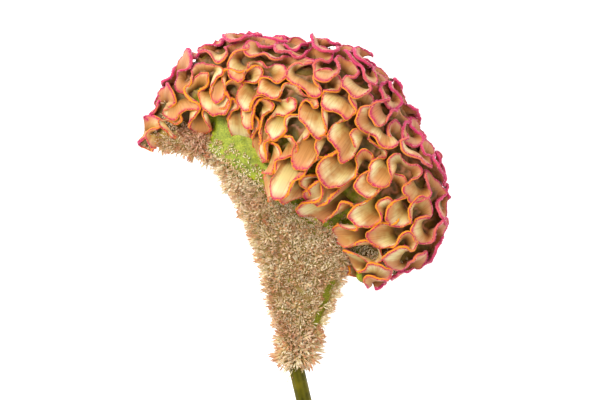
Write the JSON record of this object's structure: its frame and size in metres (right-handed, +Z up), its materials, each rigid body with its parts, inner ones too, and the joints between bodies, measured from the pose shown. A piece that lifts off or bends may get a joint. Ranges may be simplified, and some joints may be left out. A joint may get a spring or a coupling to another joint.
{
  "type": "cut cockscomb flower",
  "caption": "Cut crested cockscomb bloom lying on its side: a fan clothed in small florets, a rounded crest of one meandering frill, and a ribbed stem.",
  "frame": {"origin": "on the surface the flower lies on, below the middle of its bounding box", "axes": "+Y from the stem's cut end towards the crest, +Z up from the surface, +X to the right when looked at from above"},
  "size_m": [0.143, 0.2328, 0.0627],
  "materials": {
    "stem": "satin green stalk",
    "florets": "matte, papery",
    "green_flesh": "matte, finely bumpy",
    "frill": "velvety, with a slight sheen"
  },
  "bodies": {
    "root": {"stem": "stem", "floret_cone": "florets", "green_core": "green_flesh", "crest_frill": "frill"}
  },
  "joints": []
}
